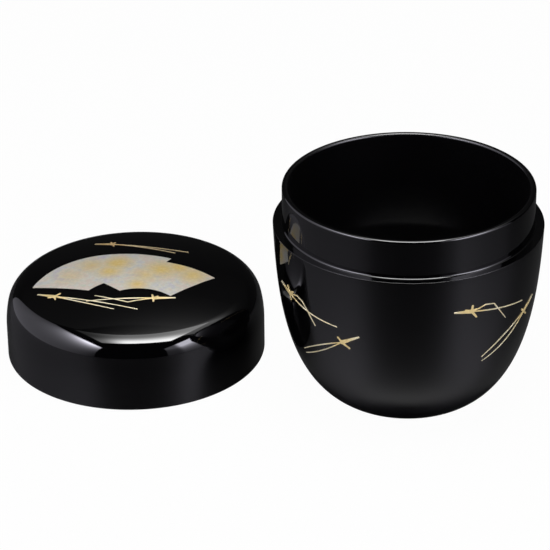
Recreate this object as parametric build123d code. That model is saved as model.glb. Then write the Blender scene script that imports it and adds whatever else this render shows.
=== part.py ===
from build123d import *
from math import acos, atan2, cos, degrees, hypot, pi, radians, sin, sqrt
import os

# A medium tea caddy of black lacquer: a turned cup with a collar, and a domed lid that slips over
# the collar. The lid stands beside the cup, right way up, as it lies when the caddy is in use.
# Millimetres, +Z up. The origin is on the cup's axis, on the surface that it stands on.

# Cup
BODY_RADIUS = 33.0
LEDGE_HEIGHT = 46.2
COLLAR_HEIGHT = 9.6
COLLAR_WALL = 1.5
FOOT_RADIUS = 16.4
FOOT_WIDTH = 2.2
FOOT_RECESS = 0.6
FLOOR_THICKNESS = 3.6
BOWL_STRAIGHT = 16.2
BOWL_PAST_FOOT = 7.6
BOWL_ROUND = 12.0
WALL_LEAN = 0.7
WALL_PULL = 15.5
BELLY_REACH = 14.6
BELLY_RISE = 6.3
CUP_SIDE_ARCS = 5

# Lid
LID_HEIGHT = 22.0
LID_WALL = 2.1
LID_SIDE_SHORT_OF_RIM = 1.4
LID_SIDE_RADIUS = 27.0
SHOULDER_RADIUS = 6.0
DOME_RADIUS = 115.0
LID_FIT_CLEARANCE = 0.15
LID_GAP_FROM_CUP = 5.7
LID_BEARING = 163.5

# Broken edges
RIM_EDGE = 0.5
LEDGE_EDGE = 0.3
COLLAR_COVE = 0.3
FOOT_EDGE = 0.4
LID_LIP_EDGE = 0.4

# Decoration: raised gold lines and two leaves of shell let into the lid
GOLD_HEIGHT = 0.14
NEEDLE_WIDTH = 0.34
SCALE_WIDTH = 0.66
STROKE_END_SHARE = 0.75
KNOT_RADIUS = 0.55
STALK_TIP_RADIUS = 0.2
SHELL_DEPTH = 0.4
SHELL_PROUD = 0.05

# Sizes that follow from those above
COLLAR_RADIUS = BODY_RADIUS - LID_WALL - LID_FIT_CLEARANCE
BORE_RADIUS = COLLAR_RADIUS - COLLAR_WALL
RIM_HEIGHT = LEDGE_HEIGHT + COLLAR_HEIGHT
LID_BORE_RADIUS = COLLAR_RADIUS + LID_FIT_CLEARANCE
LID_SIDE_HEIGHT = COLLAR_HEIGHT - LID_SIDE_SHORT_OF_RIM
LID_DISTANCE = 2 * BODY_RADIUS + LID_GAP_FROM_CUP

# Pine sprigs on the lid, in plan about the lid's axis, and on the cup, on a flat plane that faces
# outwards at the angle "facing": across, and height above the foot. Each has the end of its stalk,
# its knot, the tips of the small scales round the knot, and its needles, which all start at the
# knot. A needle through two more points is an arc. One through other points has straight runs.
LID_SPRIGS = {
    "lid_sprig_rear": [
        {
            "stalk": (-11.4, 18.2),
            "knot": (-6.8, 17.2),
            "scales": [(-7.2, 19.0), (-5.9, 18.4), (-6.1, 15.3)],
            "needles": [[(1.0, 14.9), (13.4, 12.3)], [(0.8, 14.4), (10.0, 11.0)]],
        },
    ],
    "lid_sprigs_crossed": [
        {
            "stalk": (-24.0, -8.1),
            "knot": (-19.5, -10.4),
            "scales": [(-17.9, -9.3), (-21.3, -10.5), (-19.1, -12.0), (-18.0, -11.0)],
            "needles": [[(-9.4, -14.4), (2.0, -18.4)], [(-12.9, -14.1), (-3.9, -18.2)]],
        },
        {
            "stalk": (11.2, -12.8),
            "knot": (5.6, -13.5),
            "scales": [(5.2, -11.9), (6.9, -12.5), (5.7, -15.1)],
            "needles": [[(-2.0, -13.8), (-11.3, -14.2)], [(1.4, -14.7), (-0.7, -15.4), (-3.3, -14.3), (-9.3, -12.0)]],
        },
    ],
}
CUP_SPRIGS = {
    "cup_sprig_upper_left": {
        "facing": -143,
        "stalk": (-10.5, 34.9),
        "knot": (-5.5, 34.1),
        "scales": [(-6.5, 35.9), (-5.1, 32.2), (-3.7, 35.2)],
        "needles": [[(-1.9, 34.9), (0.1, 34.3), (1.8, 32.5), (4.2, 29.1)], [(2.0, 32.3), (10.9, 31.3)]],
    },
    "cup_sprig_lower_left": {
        "facing": -131,
        "stalk": (10.0, 30.0),
        "knot": (5.3, 27.2),
        "scales": [(4.2, 28.5), (7.4, 25.9)],
        "needles": [[(-0.6, 24.5), (-8.6, 19.6)], [(-1.4, 22.4), (-8.1, 18.5)]],
    },
    "cup_sprig_upper_right": {
        "facing": -53,
        "stalk": (-10.7, 37.3),
        "knot": (-6.3, 36.8),
        "scales": [(-6.1, 38.5), (-4.8, 34.8), (-8.1, 37.5), (-4.9, 37.2)],
        "needles": [[(-4.2, 37.2), (-2.6, 37.7), (0.0, 37.2), (4.4, 31.6)], [(2.4, 35.2), (10.7, 33.7)]],
    },
    "cup_sprig_far_right": {
        "facing": -39,
        "stalk": (9.3, 32.2),
        "knot": (4.7, 29.9),
        "scales": [(6.3, 28.3), (3.4, 30.9)],
        "needles": [[(-1.7, 27.1), (-9.1, 22.4)], [(-1.0, 25.2), (-8.7, 21.0)]],
    },
}
# The side that faces away repeats three of the forms: name, the form, facing, and height added
BACK_SPRIGS = [
    ("cup_sprig_back_right", "cup_sprig_lower_left", 20, 6.0),
    ("cup_sprig_back", "cup_sprig_upper_right", 86, -3.0),
    ("cup_sprig_back_left", "cup_sprig_far_right", 150, 2.0),
]

# The two overlapping fan leaves, in plan about the lid's axis
LEFT_LEAF_OUTER = [(-25.6, -4.2), (-17.0, 6.6), (-8.2, 9.5), (9.1, 7.2)]
LEFT_LEAF_INNER = [(2.4, -5.3), (-7.2, -6.4), (-10.9, -9.4)]
RIGHT_LEAF_OUTER = [(-14.6, 0.4), (7.9, 4.9), (20.5, -1.1)]
RIGHT_LEAF_INNER = [(9.8, -12.1), (3.8, -9.4), (-3.0, -10.3)]


def polar(center, radius, angle):
    """The point at a distance from a center, in the direction of an angle in radians."""
    return (center[0] + radius * cos(angle), center[1] + radius * sin(angle))


def bearing(start, end):
    """The direction from one point to another, in radians."""
    return atan2(end[1] - start[1], end[0] - start[0])


def arc_about(center, radius, start, end):
    """An arc about a center, between two directions in radians."""
    return CenterArc(center, radius, degrees(start), degrees(end - start))


def outer_meeting(center_a, radius_a, center_b, radius_b):
    """The point furthest to the right at the given distances from two centers."""
    apart = hypot(center_b[0] - center_a[0], center_b[1] - center_a[1])
    along = (radius_a**2 - radius_b**2 + apart**2) / (2 * apart)
    heading = bearing(center_a, center_b)
    foot = polar(center_a, along, heading)
    across = sqrt(radius_a**2 - along**2)
    return max(polar(foot, across, heading + side) for side in (pi / 2, -pi / 2))


def tangent_arcs(curve, count):
    """A chain of arcs, each tangent to the last, that meets a curve at even steps along it."""
    points = [curve @ (step / count) for step in range(count + 1)]
    arcs = []
    tangent = curve % 0
    for start, end in zip(points, points[1:]):
        arcs.append(TangentArc(start, end, tangent=tangent))
        tangent = arcs[-1] % 1
    return arcs


def cup_side(out=0.0):
    """The cup's outer side, from the ledge down to the foot, moved outwards by a distance."""
    curve = Bezier(
        (BODY_RADIUS + out, LEDGE_HEIGHT),
        (BODY_RADIUS - WALL_LEAN + out, LEDGE_HEIGHT - WALL_PULL),
        (FOOT_RADIUS + BELLY_REACH + out, BELLY_RISE - out),
        (FOOT_RADIUS, -out),
    )
    return tangent_arcs(curve, CUP_SIDE_ARCS)


def lid_outline(out=0.0):
    """The lid's side, its inward curve, shoulder and dome, moved outwards by a distance."""
    radius = BODY_RADIUS + out
    side_center = (BODY_RADIUS - LID_SIDE_RADIUS, LID_SIDE_HEIGHT)
    dome_center = (0, LID_HEIGHT - DOME_RADIUS)
    shoulder_center = outer_meeting(
        side_center, LID_SIDE_RADIUS - SHOULDER_RADIUS, dome_center, DOME_RADIUS - SHOULDER_RADIUS
    )
    side_turn = bearing(side_center, shoulder_center)
    dome_turn = bearing(dome_center, shoulder_center)
    return [
        Line((radius, 0), (radius, LID_SIDE_HEIGHT)),
        arc_about(side_center, LID_SIDE_RADIUS + out, 0, side_turn),
        arc_about(shoulder_center, SHOULDER_RADIUS + out, side_turn, dome_turn),
        arc_about(dome_center, DOME_RADIUS + out, dome_turn, pi / 2),
    ]


def corner_at(face, point):
    """The section's corner that lies at a point."""
    return min(face.vertices(), key=lambda v: (Vector(*v) - Vector(*point)).length)


def break_edges(face, edges):
    """Bevel the section's corners that lie at the given points, each by its own width."""
    for point, width in edges:
        face = chamfer(corner_at(face, point), width)
    return face


def turned(face):
    """The solid that the section makes when it is turned about the upright axis."""
    return revolve(Plane.XZ * face, Axis.Z)


def make_cup():
    """The cup, turned in one piece with its collar: bowl, ledge, collar and foot ring."""
    ring_inner = FOOT_RADIUS - FOOT_WIDTH
    recess_edge = ring_inner - FOOT_RECESS
    bowl_corner = (FOOT_RADIUS + BOWL_PAST_FOOT, FLOOR_THICKNESS)
    base = Polyline(
        (FOOT_RADIUS, 0),
        (ring_inner, 0),
        (recess_edge, FOOT_RECESS),
        (0, FOOT_RECESS),
        (0, FLOOR_THICKNESS),
    )
    bowl_and_collar = Polyline(
        (0, FLOOR_THICKNESS),
        bowl_corner,
        (BORE_RADIUS, LEDGE_HEIGHT - BOWL_STRAIGHT),
        (BORE_RADIUS, RIM_HEIGHT),
        (COLLAR_RADIUS, RIM_HEIGHT),
        (COLLAR_RADIUS, LEDGE_HEIGHT),
        (BODY_RADIUS, LEDGE_HEIGHT),
    )
    edges = [
        ((BORE_RADIUS, RIM_HEIGHT), RIM_EDGE),
        ((COLLAR_RADIUS, RIM_HEIGHT), RIM_EDGE),
        ((COLLAR_RADIUS, LEDGE_HEIGHT), COLLAR_COVE),
        ((BODY_RADIUS, LEDGE_HEIGHT), LEDGE_EDGE),
        ((FOOT_RADIUS, 0), FOOT_EDGE),
        ((ring_inner, 0), FOOT_EDGE),
    ]
    section = make_face(cup_side() + [base, bowl_and_collar])
    section = fillet(corner_at(section, bowl_corner), BOWL_ROUND)
    return turned(break_edges(section, edges))


def make_lid_blank():
    """The lid before the shell is let in: one wall all round, and a bore for the collar."""
    crown = Line((0, LID_HEIGHT), (0, LID_HEIGHT - LID_WALL))
    lip = Line((LID_BORE_RADIUS, 0), (BODY_RADIUS, 0))
    edges = [
        ((LID_BORE_RADIUS, 0), LID_LIP_EDGE),
        ((BODY_RADIUS, 0), LID_LIP_EDGE),
    ]
    section = make_face(lid_outline() + lid_outline(LID_BORE_RADIUS - BODY_RADIUS) + [crown, lip])
    return turned(break_edges(section, edges))


def lid_skin(inner, outer):
    """A skin that follows the lid's outer face, between two distances from it."""
    low = lid_outline(inner)
    high = lid_outline(outer)
    joins = [Line(low[0] @ 0, high[0] @ 0), Line(low[-1] @ 1, high[-1] @ 1)]
    return turned(make_face(low + high + joins))


def cup_skin(outer):
    """A skin that lies on the cup's outer side."""
    low = cup_side()
    high = cup_side(outer)
    joins = [Line(low[0] @ 0, high[0] @ 0), Line(low[-1] @ 1, high[-1] @ 1)]
    return turned(make_face(low + high + joins))


def stalk(knot, tip):
    """A stalk with a round knot at one end, and sides that run from the knot to its tip."""
    heading = bearing(knot, tip)
    length = hypot(tip[0] - knot[0], tip[1] - knot[1])
    lean = acos((KNOT_RADIUS - STALK_TIP_RADIUS) / length)
    knot_left = polar(knot, KNOT_RADIUS, heading + lean)
    knot_right = polar(knot, KNOT_RADIUS, heading - lean)
    tip_left = polar(tip, STALK_TIP_RADIUS, heading + lean)
    tip_right = polar(tip, STALK_TIP_RADIUS, heading - lean)
    outline = [
        ThreePointArc(knot_left, polar(knot, -KNOT_RADIUS, heading), knot_right),
        Polyline(knot_right, tip_right, tip_left, knot_left),
    ]
    return make_face(outline)


def stroke(points, width):
    """A stroke that keeps its width, then narrows a little towards its round end."""
    end_radius = width * STROKE_END_SHARE / 2
    headings = [bearing(*points[:2])]
    headings += [bearing(before, after) for before, after in zip(points, points[2:])]
    headings.append(bearing(*points[-2:]))
    spine = points[:-1] + [polar(points[-1], -end_radius, headings[-1])]
    halves = [width / 2] * (len(points) - 1) + [end_radius]
    sides = []
    for turn in (pi / 2, -pi / 2):
        side = [polar(point, half, way + turn) for point, half, way in zip(spine, halves, headings)]
        sides.append(ThreePointArc(*side) if len(side) == 3 else Polyline(*side))
    left, right = sides
    end = ThreePointArc(left @ 1, points[-1], right @ 1)
    return make_face([left, end, right, Line(left @ 0, right @ 0)])


def sprig_sketch(form):
    """One sprig, drawn flat: a stalk that widens to a knot, small scales and long needles."""
    knot = form["knot"]
    scales = [stroke([knot, tip], SCALE_WIDTH) for tip in form["scales"]]
    needles = [stroke([knot] + points, NEEDLE_WIDTH) for points in form["needles"]]
    return Sketch() + [stalk(knot, form["stalk"])] + scales + needles


def cup_sprig(form, facing, raised, skin):
    """A sprig of raised gold on the cup's side."""
    outwards = Vector(cos(radians(facing)), sin(radians(facing)), 0)
    across = Vector(-sin(radians(facing)), cos(radians(facing)), 0)
    plane = Plane(origin=(0, 0, raised), x_dir=across, z_dir=outwards)
    return extrude(plane * sprig_sketch(form), 2 * BODY_RADIUS) & skin


def lid_sprigs(forms, skin):
    """Sprigs of raised gold on the lid's top, those that cross made as one."""
    sketch = Sketch() + [sprig_sketch(form) for form in forms]
    return extrude(sketch, 2 * LID_HEIGHT) & skin


def leaf_sketch(outer, inner):
    """A fan leaf, drawn flat: an outer and an inner curve joined by two straight sides."""
    outer_edge = [ThreePointArc(*outer[:3])]
    for point in outer[3:]:
        outer_edge.append(TangentArc(outer_edge[-1] @ 1, point, tangent=outer_edge[-1] % 1))
    inner_edge = ThreePointArc(*inner)
    sides = [Line(outer[-1], inner[0]), Line(inner[-1], outer[0])]
    return make_face(outer_edge + [inner_edge] + sides)


def make_fan_leaves():
    """The two leaves of shell. The left one lies whole, and the right one is cut to meet it."""
    skin = lid_skin(-SHELL_DEPTH, SHELL_PROUD)
    left = extrude(leaf_sketch(LEFT_LEAF_OUTER, LEFT_LEAF_INNER), 2 * LID_HEIGHT)
    right = extrude(leaf_sketch(RIGHT_LEAF_OUTER, RIGHT_LEAF_INNER), 2 * LID_HEIGHT)
    return left & skin, (right - left) & skin


def build():
    """Every piece by name, in its place."""
    lid_place = Pos(*polar((0, 0), LID_DISTANCE, radians(LID_BEARING)), 0)
    leaf_left, leaf_right = make_fan_leaves()
    pieces = {
        "caddy_cup": make_cup(),
        "lid_shell": lid_place * (make_lid_blank() - leaf_left - leaf_right),
        "fan_leaf_left": lid_place * leaf_left,
        "fan_leaf_right": lid_place * leaf_right,
    }
    lid_gold_skin = lid_skin(0, GOLD_HEIGHT)
    for name, forms in LID_SPRIGS.items():
        pieces[name] = lid_place * lid_sprigs(forms, lid_gold_skin)
    cup_gold_skin = cup_skin(GOLD_HEIGHT)
    for name, form in CUP_SPRIGS.items():
        pieces[name] = cup_sprig(form, form["facing"], 0, cup_gold_skin)
    for name, source, facing, raised in BACK_SPRIGS:
        pieces[name] = cup_sprig(CUP_SPRIGS[source], facing, raised, cup_gold_skin)
    return pieces


os.makedirs("parts", exist_ok=True)
for name, piece in build().items():
    export_step(piece, f"parts/{name}.step")
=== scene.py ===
from math import atan2, cos, hypot, pi, radians, sin, sqrt, tan

import bmesh
import bpy
from mathutils import Matrix, Vector


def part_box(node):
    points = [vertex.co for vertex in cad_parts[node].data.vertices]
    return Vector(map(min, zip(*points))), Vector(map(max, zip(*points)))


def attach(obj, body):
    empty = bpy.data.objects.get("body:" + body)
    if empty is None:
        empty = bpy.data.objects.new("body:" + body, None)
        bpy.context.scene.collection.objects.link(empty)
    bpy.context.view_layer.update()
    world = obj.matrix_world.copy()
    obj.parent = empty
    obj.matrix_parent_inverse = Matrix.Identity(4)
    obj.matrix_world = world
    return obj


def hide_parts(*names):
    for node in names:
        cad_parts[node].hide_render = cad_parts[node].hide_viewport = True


# A black lacquer tea caddy with its domed lid standing beside it. The turned forms are spun here
# again, finely enough for a mirror finish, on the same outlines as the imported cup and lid.

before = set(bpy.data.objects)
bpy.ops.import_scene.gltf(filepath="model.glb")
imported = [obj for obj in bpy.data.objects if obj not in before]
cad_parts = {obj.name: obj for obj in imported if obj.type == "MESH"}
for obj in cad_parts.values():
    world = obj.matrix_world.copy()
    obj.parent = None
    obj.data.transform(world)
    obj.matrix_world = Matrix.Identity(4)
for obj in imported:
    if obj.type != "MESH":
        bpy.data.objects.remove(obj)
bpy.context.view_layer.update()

MM = 0.001

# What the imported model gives: corners and the lid's axis in metres, then sizes in millimetres
CUP_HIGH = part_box("caddy_cup")[1]
LID_LOW, LID_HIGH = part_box("lid_shell")
LID_AXIS = Vector((LID_LOW.x + LID_HIGH.x, LID_LOW.y + LID_HIGH.y, 0.0)) / 2
BODY_RADIUS = (LID_HIGH.x - LID_LOW.x) / 2 / MM
RIM_HEIGHT = CUP_HIGH.z / MM

# Lid, in millimetres
LID_HEIGHT = 22.0
LID_WALL = 2.1
LID_FIT_CLEARANCE = 0.15
LID_SIDE_HEIGHT = 8.2
LID_SIDE_RADIUS = 27.0
SHOULDER_RADIUS = 6.0
DOME_RADIUS = 115.0

# Cup, in millimetres
COLLAR_HEIGHT = 9.6
COLLAR_WALL = 1.5
LEDGE_HEIGHT = RIM_HEIGHT - COLLAR_HEIGHT
COLLAR_RADIUS = BODY_RADIUS - LID_WALL - LID_FIT_CLEARANCE
BORE_RADIUS = COLLAR_RADIUS - COLLAR_WALL
FOOT_RADIUS = 16.4
FOOT_WIDTH = 2.2
FOOT_RECESS = 0.6
FLOOR_THICKNESS = 3.6
WALL_LEAN = 0.7
WALL_PULL = 15.5
BELLY_REACH = 14.6
BELLY_RISE = 6.3
BOWL_STRAIGHT = 16.2
BOWL_PAST_FOOT = 7.6
BOWL_ROUND = 12.0

# Softened edges, in millimetres
RIM_ROUND = 0.6
LEDGE_ROUND = 0.08
COVE_ROUND = 0.5
FOOT_ROUND = 0.4
FOOT_INNER_ROUND = 0.2
LID_LIP_ROUND = 0.45

# How finely the outlines are drawn and turned. The trimmed steps at each end of the cup's side
# give way to its rounded corners.
TURNS = 256
CUP_SIDE_STEPS = 64
CUP_SIDE_TRIM = 4
LID_SIDE_STEPS = 12
SHOULDER_STEPS = 32
DOME_STEPS = 24
CORNER_STEPS = 8

# Raised gold lines, in millimetres: what is rubbed off each flank, and the softening of the top
CUP_GOLD_RUB = 0.015
LID_GOLD_RUB = 0.07
GOLD_ROUND = 0.05
GOLD_ROUND_STEPS = 2

# Knots of the sprigs, in millimetres. On the cup: the way the sprig faces, in degrees, then the
# place across it and the height. On the lid: the place in plan about its axis. Round each knot
# the gold is less worn and richer in colour.
CUP_KNOTS = [
    (-143, -5.5, 34.1),
    (-131, 5.3, 27.2),
    (-53, -6.3, 36.8),
    (-39, 4.7, 29.9),
    (20, 5.3, 33.2),
    (86, -6.3, 33.8),
    (150, 4.7, 31.9),
]
LID_KNOTS = [(-6.8, 17.2), (-19.5, -10.4), (5.6, -13.5)]
KNOT_COLOUR_REACH = 4.6
KNOT_UNWORN_REACH = 2.3

# Gold clouds on the shell, in millimetres about the lid's axis: place, reach and strength
GOLD_CLOUDS = [
    ((-16.6, -1.5), 5.2, 0.50),
    ((-11.1, 3.6), 5.2, 0.70),
    ((-6.2, -0.4), 4.6, 0.95),
    ((-4.4, 4.0), 5.0, 1.10),
    ((3.0, -2.6), 5.2, 0.70),
    ((7.0, 0.6), 6.0, 1.00),
    ((11.4, 2.4), 5.4, 1.00),
    ((15.2, -1.2), 5.6, 1.00),
    ((1.2, -7.4), 3.8, 0.90),
]

# Black lacquer: its two blacks, how rough the polished outside and the satin bowl are, and how
# much rougher it is where it is worn
BLACK_DEEP = (0.0003, 0.0003, 0.0004)
BLACK_PALE = (0.0010, 0.0009, 0.0012)
LACQUER_IOR = 1.5
POLISHED = 0.035
SATIN = 0.22
WORN = 0.02

# Gold: deep and pale powder, and the richer powder at the knots. The rear sprig's darker copy is
# painted shade.
# The rich share at a knot before it is held to its greatest, and that greatest share.
GOLD = ((0.82, 0.66, 0.34), (0.93, 0.88, 0.70), (0.86, 0.66, 0.30))
PAINTED_SHADE_GOLD = ((0.50, 0.38, 0.20), (0.62, 0.50, 0.30), (0.56, 0.38, 0.17))
KNOT_RICHNESS = 2.0
RICHEST = 0.9

# Mother-of-pearl: its pastel drifts, the gold clouds and how ragged they are, the painted
# highlights (glints) on the brightest flecks, and a painted shade that grows to the back, by a
# share for each metre
PEARL_STOPS = [
    (0.32, (0.57, 0.53, 0.60)),
    (0.42, (0.62, 0.62, 0.59)),
    (0.50, (0.67, 0.64, 0.55)),
    (0.58, (0.70, 0.59, 0.52)),
    (0.68, (0.61, 0.62, 0.52)),
]
CLOUD_GOLD = (0.76, 0.53, 0.10)
CLOUD_COVER = 1.0925
CLOUD_RAGGED = 1.5
CLOUD_MOST = 0.95
# The glint colour is a painted highlight.
PAINTED_GLINT = (1.0, 0.98, 0.92)
PAINTED_GLINT_ABOVE = 0.42
PAINTED_GLINT_SHARE = 1.1
# The dull colour is a painted shade, darker towards the back.
PAINTED_SHADE = (0.14, 0.11, 0.08)
PAINTED_SHADE_MIDDLE = 0.06
PAINTED_SHADE_TO_BACK = 7.0
PAINTED_SHADE_MOST = 0.15

# The white sheet: half its side and how far it lies below the caddy, in metres. It is white as
# the camera sees it, nearly all by its own light, and a dark satin as the lacquer mirrors it.
SHEET_HALF = 6.0
SHEET_DROP = 0.00002
PAPER = (0.8, 0.8, 0.8, 1.0)
LIT_SHARE = 0.97
MIRRORED_SHEET = (0.004, 0.004, 0.004, 1.0)
MIRRORED_ROUGHNESS = 0.43
MIRRORED_IOR = 1.9

# What is round the set: white to the camera, and nearly black in the lacquer
WHITE = (1.0, 1.0, 1.0)
DARK_ROOM = (0.002, 0.002, 0.002)

# The cool white cloth of the side soft boxes
COOL = (0.90, 0.88, 1.0)

# Camera, in metres and radians, looking from in front and above
CAMERA_PLACE = Vector((-0.021888, -0.59222, 0.342701))
CAMERA_DOWN = 0.4842
CAMERA_LEFT = 0.0180
CAMERA_ROLL = -0.0100
LENS = 178.2
SENSOR = 36.0
NEAREST_SEEN = 0.01

# Directions
UP = Vector((0.0, 0.0, 1.0))
DOWN = Vector((0.0, 0.0, -1.0))
TO_RIGHT = Vector((1.0, 0.0, 0.0))
TO_LEFT = Vector((-1.0, 0.0, 0.0))
TO_BACK = Vector((0.0, 1.0, 0.0))
TO_FRONT = Vector((0.0, -1.0, 0.0))

# Points of a mesh nearer to each other than WELD, in metres, are one point. Faces that lean from
# each other by less than FLAT_ENOUGH are one face. A flank leans outwards by less than
# FLANK_LEAN, and a top by more than TOP_LEAN, where 1 is straight outwards. A number under TINY
# is nothing.
WELD = 1e-6
TINY = 1e-6
FLAT_ENOUGH = radians(1.0)
FLANK_LEAN = 0.5
TOP_LEAN = 0.6


class Value:
    """A shader socket that takes part in sums."""

    def __init__(self, tree, socket):
        self.tree = tree
        self.socket = socket

    def math(self, operation, *others):
        return node(self.tree, "ShaderNodeMath", {"operation": operation}, [self, *others])

    def at_least(self, low):
        return self.math("MAXIMUM", low)

    def at_most(self, high):
        return self.math("MINIMUM", high)

    def exponential(self):
        return self.math("EXPONENT")

    def __abs__(self):
        return self.math("ABSOLUTE")

    def __add__(self, other):
        return self.math("ADD", other)

    def __radd__(self, other):
        return self.math("ADD", other)

    def __sub__(self, other):
        return self.math("SUBTRACT", other)

    def __rsub__(self, other):
        return node(self.tree, "ShaderNodeMath", {"operation": "SUBTRACT"}, [other, self])

    def __mul__(self, other):
        return self.math("MULTIPLY", other)

    def __rmul__(self, other):
        return self.math("MULTIPLY", other)

    def __truediv__(self, other):
        return self.math("DIVIDE", other)

    def __pow__(self, other):
        return self.math("POWER", other)


def node(tree, kind, settings=None, inputs=None, output=0):
    """A shader node with its settings made first, then the values or links of its sockets."""
    made = tree.nodes.new(kind)
    for name, value in (settings or {}).items():
        if name == "stops":
            set_stops(made.color_ramp, value)
        else:
            setattr(made, name, value)
    pairs = inputs.items() if isinstance(inputs, dict) else enumerate(inputs or [])
    for key, value in pairs:
        if isinstance(value, Value):
            plug(tree, value, made.inputs[key])
        else:
            made.inputs[key].default_value = value
    return Value(tree, made.outputs[output])


def set_stops(ramp, stops):
    """Place a ramp's stops, each a position and a colour."""
    while len(ramp.elements) < len(stops):
        ramp.elements.new(1.0)
    for element, (position, colour) in zip(ramp.elements, stops):
        element.position = position
        element.color = (*colour, 1.0)


def plug(tree, value, socket):
    """Link a value to a socket."""
    tree.links.new(value.socket, socket)


def new_material(name):
    """A plain node material: the material, its tree and its surface shader."""
    made = bpy.data.materials.new(name)
    made.use_nodes = True
    tree = made.node_tree
    surface = tree.nodes["Principled BSDF"]
    return made, tree, surface


def object_place(tree):
    """The place on the surface, in metres, in the shared frame."""
    return node(tree, "ShaderNodeTexCoord", output="Object")


def noise(tree, place, scale, detail, roughness=0.5):
    """A cloudy value between 0 and 1. The scale is in patches to the metre."""
    inputs = {"Vector": place, "Scale": scale, "Detail": detail, "Roughness": roughness}
    return node(tree, "ShaderNodeTexNoise", {"noise_dimensions": "3D"}, inputs, output="Fac")


def bump(tree, height, distance, strength):
    """A normal that is tilted by a height. The distance is in metres."""
    inputs = {"Height": height, "Distance": distance, "Strength": strength}
    return node(tree, "ShaderNodeBump", None, inputs, output="Normal")


def mix_colour(tree, share, first, second):
    """A colour between two colours."""
    ends = [colour if isinstance(colour, Value) else (*colour, 1.0) for colour in (first, second)]
    inputs = {0: share, 6: ends[0], 7: ends[1]}
    return node(tree, "ShaderNodeMix", {"data_type": "RGBA"}, inputs, output=2)


def patch(tree, place, centre, reach):
    """A round patch on the surface: 1 at its centre, fading evenly to 0 at its reach."""
    settings = {"operation": "DISTANCE"}
    away = node(tree, "ShaderNodeVectorMath", settings, [place, centre], output="Value")
    return (1.0 - away / reach).at_least(0.0)


def greatest(values):
    """The greatest of some values at each place."""
    most = values[0]
    for value in values[1:]:
        most = most.at_least(value)
    return most


def black_lacquer(name, roughness):
    """Many thin coats of black lacquer, very slightly wavy and uneven."""
    made, tree, surface = new_material(name)
    place = object_place(tree)
    haze = noise(tree, place, scale=55.0, detail=3.0)
    wear = noise(tree, place, scale=160.0, detail=3.0)
    ripple = noise(tree, place, scale=34.0, detail=1.0)
    plug(tree, mix_colour(tree, haze, BLACK_DEEP, BLACK_PALE), surface.inputs["Base Color"])
    plug(tree, roughness + WORN * wear, surface.inputs["Roughness"])
    waves = bump(tree, ripple, distance=0.00008, strength=0.35)
    plug(tree, waves, surface.inputs["Normal"])
    surface.inputs["IOR"].default_value = LACQUER_IOR
    return made


def raised_gold(name, deep, pale, rich):
    """Gold powder laid over raised lines and lightly burnished: grainy, drifting between deep and
    pale, and a richer colour at the knots."""
    made, tree, surface = new_material(name)
    place = object_place(tree)
    grain = noise(tree, place, scale=4200.0, detail=2.0)
    drift = noise(tree, place, scale=420.0, detail=2.0)
    knots = CUP_KNOT_PLACES + LID_KNOT_PLACES
    near = greatest([patch(tree, place, knot, KNOT_COLOUR_REACH * MM) for knot in knots])
    powder = mix_colour(tree, drift, deep, pale)
    coloured = mix_colour(tree, (KNOT_RICHNESS * near).at_most(RICHEST), powder, rich)
    plug(tree, coloured, surface.inputs["Base Color"])
    plug(tree, 0.28 + 0.2 * grain, surface.inputs["Roughness"])
    plug(tree, 0.1 + 0.2 * drift, surface.inputs["Metallic"])
    grains = bump(tree, grain, distance=0.00006, strength=0.8)
    plug(tree, grains, surface.inputs["Normal"])
    return made


def shell_inlay():
    """Mother-of-pearl in two thin leaves: silvery, with pastel drifts and soft clouds of gold."""
    made, tree, surface = new_material("shell_inlay")
    place = object_place(tree)
    drift = noise(tree, place, scale=300.0, detail=3.0, roughness=0.6)
    fleck = noise(tree, place, scale=1100.0, detail=4.0, roughness=0.7)
    pearl = node(tree, "ShaderNodeValToRGB", {"stops": PEARL_STOPS}, [drift], output="Color")
    puffs = []
    for (x, y), reach, strength in GOLD_CLOUDS:
        centre = Vector((x, y, LID_HEIGHT)) * MM + LID_AXIS
        puffs.append(strength * patch(tree, place, centre, reach * MM))
    cloud = greatest(puffs)
    gold_share = CLOUD_COVER * (cloud + CLOUD_RAGGED * (fleck - 0.5) * cloud ** 0.5)
    gold_share = gold_share.at_least(0.0).at_most(CLOUD_MOST)
    # Painted highlights: near-white glints on the brightest flecks.
    painted_glint_share = PAINTED_GLINT_SHARE * (fleck - PAINTED_GLINT_ABOVE).at_least(0.0)
    # Painted shade: the shell grows darker towards the back.
    back = node(tree, "ShaderNodeSeparateXYZ", None, [place], output="Y") - LID_AXIS.y
    painted_shade_share = (PAINTED_SHADE_MIDDLE + PAINTED_SHADE_TO_BACK * back).at_least(0.0).at_most(PAINTED_SHADE_MOST)
    colour = mix_colour(tree, gold_share, pearl, CLOUD_GOLD)
    colour = mix_colour(tree, painted_glint_share, colour, PAINTED_GLINT)
    colour = mix_colour(tree, painted_shade_share, colour, PAINTED_SHADE)
    plug(tree, colour, surface.inputs["Base Color"])
    plug(tree, 0.32 + 0.15 * fleck, surface.inputs["Roughness"])
    flecks = bump(tree, fleck, distance=0.00001, strength=0.4)
    plug(tree, flecks, surface.inputs["Normal"])
    return made


def knots_on_cup():
    """The cup's knots, in metres, in the shared frame."""
    places = []
    for facing, across, height in CUP_KNOTS:
        way = radians(facing)
        out = sqrt(BODY_RADIUS**2 - across**2)
        x = out * cos(way) - across * sin(way)
        y = out * sin(way) + across * cos(way)
        places.append(Vector((x, y, height)) * MM)
    return places


def knots_on_lid():
    """The lid's knots, in metres, in the shared frame."""
    places = []
    for x, y in LID_KNOTS:
        height = LID_HEIGHT - DOME_RADIUS + sqrt(DOME_RADIUS**2 - x**2 - y**2)
        places.append(Vector((x, y, height)) * MM + LID_AXIS)
    return places


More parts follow.
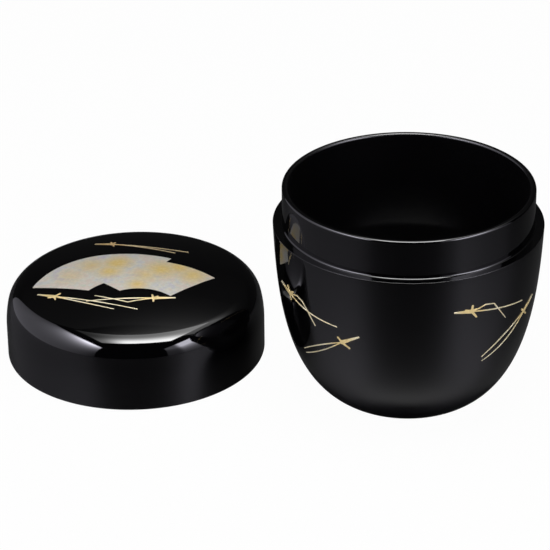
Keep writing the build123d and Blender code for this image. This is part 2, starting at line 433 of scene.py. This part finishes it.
def bezier(first, pull, reach, last, steps):
    """Points along a curve with two handles."""
    points = []
    for step in range(steps + 1):
        t = step / steps
        weights = ((1 - t)**3, 3 * (1 - t)**2 * t, 3 * (1 - t) * t**2, t**3)
        corners = (first, pull, reach, last)
        points.append(tuple(sum(w * c[i] for w, c in zip(weights, corners)) for i in (0, 1)))
    return points


def arc(centre, radius, start, end, steps):
    """Points along an arc about a centre, between two directions in radians."""
    turns = [start + (end - start) * step / steps for step in range(steps + 1)]
    return [(centre[0] + radius * cos(a), centre[1] + radius * sin(a)) for a in turns]


def round_corner(before, corner, after, radius):
    """Points that round a corner between its two neighbours."""
    corner = Vector(corner)
    to_before = (Vector(before) - corner).normalized()
    to_after = (Vector(after) - corner).normalized()
    half = to_before.angle(to_after) / 2
    centre = corner + (to_before + to_after).normalized() * radius / sin(half)
    start = corner + to_before * radius / tan(half) - centre
    end = corner + to_after * radius / tan(half) - centre
    sweep = start.angle(end)
    points = []
    for step in range(CORNER_STEPS + 1):
        t = step / CORNER_STEPS
        blend = (start * sin((1 - t) * sweep) + end * sin(t * sweep)) / sin(sweep)
        points.append(tuple(centre + blend))
    return points


def rounded(corners):
    """An outline through corners, each a point and the radius that rounds it, or 0."""
    points = []
    for index, (corner, radius) in enumerate(corners):
        if radius:
            before, after = corners[index - 1][0], corners[index + 1][0]
            points += round_corner(before, corner, after, radius)
        else:
            points.append(corner)
    return points


def cup_outline():
    """The cup from the middle of its underside, up its side, and down into the bowl."""
    side = bezier(
        (BODY_RADIUS, LEDGE_HEIGHT),
        (BODY_RADIUS - WALL_LEAN, LEDGE_HEIGHT - WALL_PULL),
        (FOOT_RADIUS + BELLY_REACH, BELLY_RISE),
        (FOOT_RADIUS, 0.0),
        CUP_SIDE_STEPS,
    )
    side = side[::-1][CUP_SIDE_TRIM:1 - CUP_SIDE_TRIM]
    ring_inner = FOOT_RADIUS - FOOT_WIDTH
    under = rounded([
        ((0.0, FOOT_RECESS), 0),
        ((ring_inner - FOOT_RECESS, FOOT_RECESS), 0),
        ((ring_inner, 0.0), FOOT_INNER_ROUND),
        ((FOOT_RADIUS, 0.0), FOOT_ROUND),
        (side[0], 0),
    ])
    top = rounded([
        (side[-1], 0),
        ((BODY_RADIUS, LEDGE_HEIGHT), LEDGE_ROUND),
        ((COLLAR_RADIUS, LEDGE_HEIGHT), COVE_ROUND),
        ((COLLAR_RADIUS, RIM_HEIGHT), RIM_ROUND),
        ((BORE_RADIUS, RIM_HEIGHT), RIM_ROUND),
        ((BORE_RADIUS, LEDGE_HEIGHT - BOWL_STRAIGHT), BOWL_ROUND),
        ((FOOT_RADIUS + BOWL_PAST_FOOT, FLOOR_THICKNESS), BOWL_ROUND),
        ((0.0, FLOOR_THICKNESS), 0),
    ])
    return under[:-1] + side[:-1] + top


def lid_skin(out):
    """The lid's side, inward curve, shoulder and dome, moved outwards by a distance."""
    side_centre = (BODY_RADIUS - LID_SIDE_RADIUS, LID_SIDE_HEIGHT)
    dome_centre = (0.0, LID_HEIGHT - DOME_RADIUS)
    apart = hypot(dome_centre[0] - side_centre[0], dome_centre[1] - side_centre[1])
    near = LID_SIDE_RADIUS - SHOULDER_RADIUS
    far = DOME_RADIUS - SHOULDER_RADIUS
    along = (near**2 - far**2 + apart**2) / (2 * apart)
    across = sqrt(near**2 - along**2)
    heading = atan2(dome_centre[1] - side_centre[1], dome_centre[0] - side_centre[0])
    shoulder_centre = (
        side_centre[0] + along * cos(heading) - across * sin(heading),
        side_centre[1] + along * sin(heading) + across * cos(heading),
    )
    side_turn = atan2(shoulder_centre[1] - side_centre[1], shoulder_centre[0] - side_centre[0])
    dome_turn = atan2(shoulder_centre[1] - dome_centre[1], shoulder_centre[0] - dome_centre[0])
    side = arc(side_centre, LID_SIDE_RADIUS + out, 0.0, side_turn, LID_SIDE_STEPS)
    shoulder = arc(shoulder_centre, SHOULDER_RADIUS + out, side_turn, dome_turn, SHOULDER_STEPS)
    dome = arc(dome_centre, DOME_RADIUS + out, dome_turn, pi / 2, DOME_STEPS)
    return side + shoulder[1:] + dome[1:]


def lid_outline():
    """The lid from the underside of its crown, down its bore, round its lip, up to the crown."""
    outer = lid_skin(0.0)
    inner = lid_skin(-LID_WALL)[::-1]
    lip = rounded([
        (inner[-1], 0),
        ((inner[-1][0], 0.0), LID_LIP_ROUND),
        ((BODY_RADIUS, 0.0), LID_LIP_ROUND),
        (outer[0], 0),
    ])
    return inner[:-1] + lip + outer[1:]


def spun(name, outline, axis):
    """A closed turned form: an outline from axis to axis, spun and moved to its own axis."""
    form = bmesh.new()
    ring = [form.verts.new((r * MM, 0.0, z * MM)) for r, z in outline]
    edges = [form.edges.new(pair) for pair in zip(ring, ring[1:])]
    bmesh.ops.spin(form, geom=ring + edges, cent=(0, 0, 0), axis=UP, angle=2 * pi,
                   steps=TURNS, use_merge=True, use_duplicate=False)
    bmesh.ops.remove_doubles(form, verts=form.verts, dist=WELD)
    bmesh.ops.recalc_face_normals(form, faces=form.faces)
    bmesh.ops.translate(form, verts=form.verts, vec=axis)
    return finished(name, form, smooth=True)


def finished(name, form, smooth=False):
    """A bmesh made into an object in the scene."""
    for face in form.faces:
        face.smooth = smooth
    mesh = bpy.data.meshes.new(name)
    form.to_mesh(mesh)
    form.free()
    made = bpy.data.objects.new(name, mesh)
    bpy.context.collection.objects.link(made)
    return made


def dress(piece, finish):
    """Give a piece its one finish."""
    piece.data.materials.clear()
    piece.data.materials.append(finish)


def line_bowl(piece, finish):
    """Give the bowl, up to the rim, a finish of its own: the faces that look at the axis above
    the foot's recess, and the level ones on its bottom."""
    piece.data.materials.append(finish)
    for face in piece.data.polygons:
        height = face.center.z / MM
        inwards = -face.center.x * face.normal.x - face.center.y * face.normal.y
        wall = inwards > TINY and height > FOOT_RECESS
        bottom = face.normal.z > TOP_LEAN and height < LEDGE_HEIGHT / 2
        if wall or bottom:
            face.material_index = 1


def outwards(place, on_lid):
    """The way that faces out of the lacquer: up on the lid, and level on the cup's side."""
    return UP if on_lid else Vector((place.x, place.y, 0.0)).normalized()


def rub_flanks(form, on_lid):
    """Move a sprig's flanks inwards, and less so towards its knots."""
    rub = LID_GOLD_RUB if on_lid else CUP_GOLD_RUB
    knots = LID_KNOT_PLACES if on_lid else CUP_KNOT_PLACES
    moves = []
    for vert in form.verts:
        away = outwards(vert.co, on_lid)
        normals = [face.normal for face in vert.link_faces]
        push = sum([way for way in normals if abs(way.dot(away)) < FLANK_LEAN], Vector())
        push -= away * push.dot(away)
        if push.length > TINY:
            moves.append((vert, push.normalized()))
    for vert, push in moves:
        nearest = min((vert.co - knot).length for knot in knots)
        near = max(1.0 - nearest / (KNOT_UNWORN_REACH * MM), 0.0)
        vert.co -= push * rub * (1.0 - near) * MM
    form.normal_update()


def soften_tops(form, on_lid):
    """Bevel the edges between a sprig's flanks and its top."""
    edges = []
    for edge in form.edges:
        away = outwards(edge.verts[0].co, on_lid)
        leans = sorted(face.normal.dot(away) for face in edge.link_faces)
        if abs(leans[0]) < FLANK_LEAN and leans[-1] > TOP_LEAN:
            edges.append(edge)
    bmesh.ops.bevel(form, geom=edges, offset=GOLD_ROUND * MM, offset_type="OFFSET",
                    segments=GOLD_ROUND_STEPS, profile=0.5, affect="EDGES", material=-1,
                    clamp_overlap=False)
    bmesh.ops.remove_doubles(form, verts=form.verts, dist=WELD)
    bmesh.ops.dissolve_degenerate(form, edges=form.edges, dist=WELD)
    bmesh.ops.triangulate(form, faces=form.faces)
    bmesh.ops.recalc_face_normals(form, faces=form.faces)


def gold_line(name, source, finish):
    """A packed sprig with its flanks rubbed narrower away from its knots, and soft top edges."""
    on_lid = name.startswith("lid")
    form = bmesh.new()
    form.from_mesh(source.data)
    bmesh.ops.remove_doubles(form, verts=form.verts, dist=WELD)
    bmesh.ops.recalc_face_normals(form, faces=form.faces)
    bmesh.ops.dissolve_limit(form, angle_limit=FLAT_ENOUGH, verts=form.verts, edges=form.edges)
    rub_flanks(form, on_lid)
    soften_tops(form, on_lid)
    made = finished(name + "_line", form, smooth=True)
    dress(made, finish)
    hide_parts(name)
    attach(made, "lid" if on_lid else "cup")


def place_camera():
    """The camera of the photograph, from its fitted place and angles."""
    ahead = Vector((
        -sin(CAMERA_LEFT) * cos(CAMERA_DOWN),
        cos(CAMERA_LEFT) * cos(CAMERA_DOWN),
        -sin(CAMERA_DOWN),
    ))
    level = Vector((cos(CAMERA_LEFT), sin(CAMERA_LEFT), 0.0))
    upright = level.cross(ahead)
    across = cos(CAMERA_ROLL) * level + sin(CAMERA_ROLL) * upright
    up = cos(CAMERA_ROLL) * upright - sin(CAMERA_ROLL) * level
    data = bpy.data.cameras.new("camera")
    data.lens = LENS
    data.sensor_width = SENSOR
    data.clip_start = NEAREST_SEEN
    camera = bpy.data.objects.new("camera", data)
    camera.matrix_world = placed(CAMERA_PLACE, across, up, -ahead)
    bpy.context.collection.objects.link(camera)
    bpy.context.scene.camera = camera


def placed(place, across, up, back):
    """The matrix of a thing at a place, from the ways of its own three axes."""
    turn = Matrix((across, up, back)).transposed().to_4x4()
    return Matrix.Translation(place) @ turn


def fade(value, middle, reach):
    """A bell-shaped fade: 1 in the middle, and nearly nothing at twice the reach."""
    return (-1.0 * ((value - middle) / reach) ** 2.0).exponential()


def fade_below(value, edge, reach, least):
    """A fade that starts below an edge, and ends at the least share."""
    return least + (1.0 - least) * fade((value - edge).at_most(0.0), 0.0, reach)


def die_away(distance, reach):
    """A steady fade: 1 at no distance, and about a third at the reach."""
    return (distance / -reach).exponential()


def overhead_glow(across, up):
    """Brightest along the front edge, and fading to the back and to the left."""
    cloth = 2.4
    lamp = 20.6 * fade(up, middle=-0.22, reach=0.16)
    return (cloth + lamp) * fade_below(across, edge=-0.05, reach=0.09, least=0.1)


def ceiling_glow(across, up):
    """Light that spills past the overhead box, and dies away to the back and to the left."""
    most = 1.7
    spill = (most * die_away(up, reach=0.075)).at_most(most)
    return spill * fade(across, middle=0.1, reach=0.25)


def left_glow(across, up):
    """Evenly lit cloth, with a lamp behind it near the top, at the front."""
    cloth = 0.9 * fade(across, middle=-0.14, reach=0.5)
    lamp = 27.6 * die_away(abs(up - 0.305), reach=0.13)
    return cloth + lamp * fade(across, middle=0.22, reach=0.33)


def right_glow(across, up):
    """A lamp behind the cloth, at its top and front, fading downwards."""
    cloth = 0.3
    lamp = 28.0 * die_away(0.17 - up, reach=0.11) * fade(across, middle=0.01, reach=0.34)
    front = fade_below(across, edge=-0.05, reach=0.06, least=0.1)
    return cloth + lamp.at_most(12.0) * front


def backdrop_glow(across, up):
    """A dim sheet, a little lighter above."""
    dim = 0.018
    lighter = 0.05 * (up + 0.25).at_least(0.0)
    return dim + lighter


# Soft boxes: name, place, width and height in metres, the way it faces, the way of its top edge,
# its light and its cloth. One with a glow only shows in the polished surfaces. One with a number
# is even, and only lights the set.
SOFT_BOXES = [
    ("overhead", (-0.05, 0.09, 0.62), (0.48, 0.56), DOWN, TO_BACK, overhead_glow, WHITE),
    ("ceiling", (0.1, 0.40, 0.66), (1.0, 0.80), DOWN, TO_BACK, ceiling_glow, WHITE),
    ("left", (-0.47, -0.08, 0.375), (1.12, 0.75), TO_RIGHT, UP, left_glow, COOL),
    ("right", (0.42, -0.40, 0.33), (0.86, 0.66), TO_LEFT, UP, right_glow, COOL),
    ("backdrop", (0.0, 1.1, 0.75), (4.0, 1.5), TO_FRONT, UP, backdrop_glow, WHITE),
    ("overhead_fill", (0.0, -0.03, 0.62), (0.4, 0.4), DOWN, TO_BACK, 5.4, WHITE),
    ("left_fill", (-0.47, -0.2, 0.45), (0.8, 0.6), TO_RIGHT, UP, 1.8, WHITE),
    ("right_fill", (0.42, -0.23, 0.40), (0.52, 0.5), TO_LEFT, UP, 2.0, WHITE),
    ("front_fill", (-0.05, -1.0, 0.40), (1.0, 0.8), Vector((0.0, 1.0, -0.38)), UP, 4.0, WHITE),
]


def soft_box(name, place, size, facing, top, light, cloth):
    """A soft box. A glow is worked out from the place on it, in metres across and up."""
    width, height = size
    data = bpy.data.lights.new(name, "AREA")
    data.shape = "RECTANGLE"
    data.size = width
    data.size_y = height
    data.energy = pi * width * height
    data.color = cloth
    lamp = bpy.data.objects.new(name, data)
    lamp.visible_camera = False
    if callable(light):
        data.use_nodes = True
        tree = data.node_tree
        spot = node(tree, "ShaderNodeNewGeometry", output="Parametric")
        across = (node(tree, "ShaderNodeSeparateXYZ", None, [spot], output="X") - 0.5) * width
        up = (node(tree, "ShaderNodeSeparateXYZ", None, [spot], output="Y") - 0.5) * height
        plug(tree, light(across, up), tree.nodes["Emission"].inputs["Strength"])
        lamp.visible_diffuse = False
    else:
        data.energy *= light
        lamp.visible_glossy = False
    back = -facing.normalized()
    side = top.cross(back).normalized()
    lamp.matrix_world = placed(Vector(place), side, back.cross(side), back)
    bpy.context.collection.objects.link(lamp)


def surround_the_set():
    """Nothing but white for the camera, and a dark room for the lacquer."""
    world = bpy.data.worlds.new("studio")
    world.use_nodes = True
    bpy.context.scene.world = world
    tree = world.node_tree
    seen = node(tree, "ShaderNodeLightPath", output="Is Camera Ray")
    room = tree.nodes["Background"]
    plug(tree, mix_colour(tree, seen, DARK_ROOM, WHITE), room.inputs["Color"])
    room.inputs["Strength"].default_value = 1.0


def lay_sheet():
    """A plain white sheet under the caddy, just below what stands on it."""
    form = bmesh.new()
    bmesh.ops.create_grid(form, x_segments=1, y_segments=1, size=SHEET_HALF)
    bmesh.ops.translate(form, verts=form.verts, vec=(0.0, 0.0, -SHEET_DROP))
    floor = finished("floor", form)
    made, tree, surface = new_material("white_sheet")
    surface.inputs["Base Color"].default_value = MIRRORED_SHEET
    surface.inputs["Roughness"].default_value = MIRRORED_ROUGHNESS
    surface.inputs["IOR"].default_value = MIRRORED_IOR
    seen = node(tree, "ShaderNodeLightPath", output="Is Camera Ray")
    paper = node(tree, "ShaderNodeBsdfDiffuse", None, {"Color": PAPER})
    white = node(tree, "ShaderNodeEmission", None, {"Color": (*WHITE, 1.0), "Strength": 1.0})
    sheet = node(tree, "ShaderNodeMixShader", None, [LIT_SHARE, paper, white])
    mirrored = Value(tree, surface.outputs["BSDF"])
    both = node(tree, "ShaderNodeMixShader", None, [seen, mirrored, sheet])
    plug(tree, both, tree.nodes["Material Output"].inputs["Surface"])
    floor.data.materials.append(made)


CUP_KNOT_PLACES = knots_on_cup()
LID_KNOT_PLACES = knots_on_lid()

lacquer = black_lacquer("black_lacquer", POLISHED)
bowl_lacquer = black_lacquer("bowl_lacquer", SATIN)
gold = raised_gold("raised_gold", *GOLD)
# A darker copy of the gold: painted shade for the rear sprig.
painted_shade_gold = raised_gold("painted_shade_gold", *PAINTED_SHADE_GOLD)
shell = shell_inlay()

cup = spun("cup_lacquer", cup_outline(), Vector((0.0, 0.0, 0.0)))
dress(cup, lacquer)
line_bowl(cup, bowl_lacquer)
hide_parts("caddy_cup")
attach(cup, "cup")

lid = spun("lid_lacquer", lid_outline(), LID_AXIS)
dress(lid, lacquer)
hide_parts("lid_shell")
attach(lid, "lid")

for name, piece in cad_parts.items():
    if "sprig" in name:
        # The rear sprig takes the darker gold, a painted shade.
        gold_line(name, piece, painted_shade_gold if name == "lid_sprig_rear" else gold)
    elif "leaf" in name:
        dress(piece, shell)

place_camera()
for box in SOFT_BOXES:
    soft_box(*box)
surround_the_set()
lay_sheet()
bpy.context.scene.view_settings.view_transform = "Standard"
